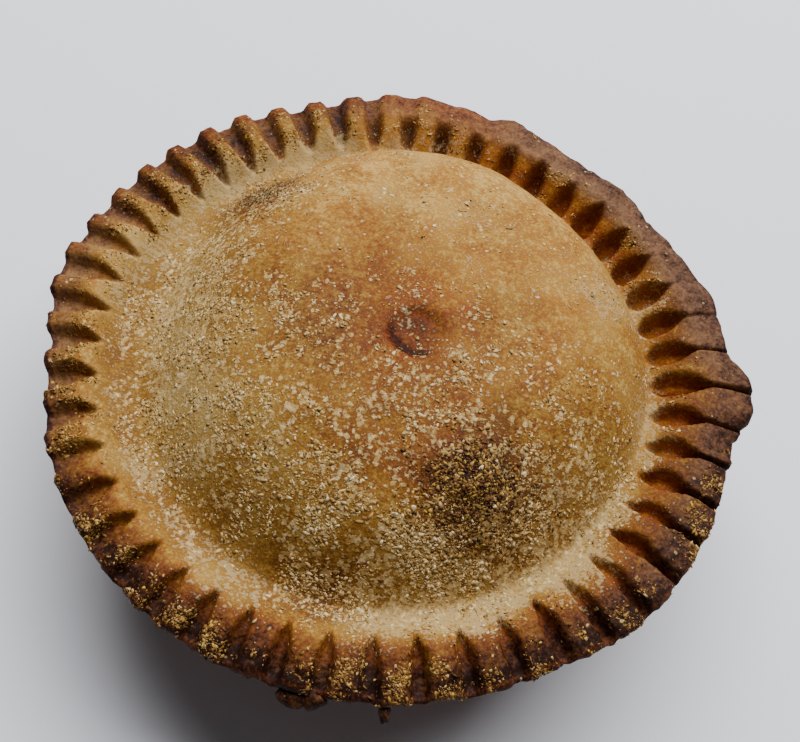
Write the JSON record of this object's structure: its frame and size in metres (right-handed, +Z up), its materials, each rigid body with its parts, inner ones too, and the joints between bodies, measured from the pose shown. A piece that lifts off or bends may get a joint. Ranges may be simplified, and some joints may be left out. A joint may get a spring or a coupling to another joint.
{
  "type": "meat and potato pie",
  "caption": "Single-serve round meat and potato pie with a crimped rim, a puffed floury lid with a small steam vent, and a tapering fluted side.",
  "frame": {"origin": "middle of the flat underside that the pie rests on", "axes": "+Z up through the lid; +Y away from the viewer; +X to the right, where the torn flap of the rim points"},
  "size_m": [0.1092, 0.1067, 0.0377],
  "materials": {
    "crust": "baked shortcrust pastry, matt, golden on the lid and dark brown at the rim",
    "crumb": "coarse semolina and flour grains baked onto the crust"
  },
  "bodies": {
    "root": {"pie": "crust"}
  },
  "joints": []
}
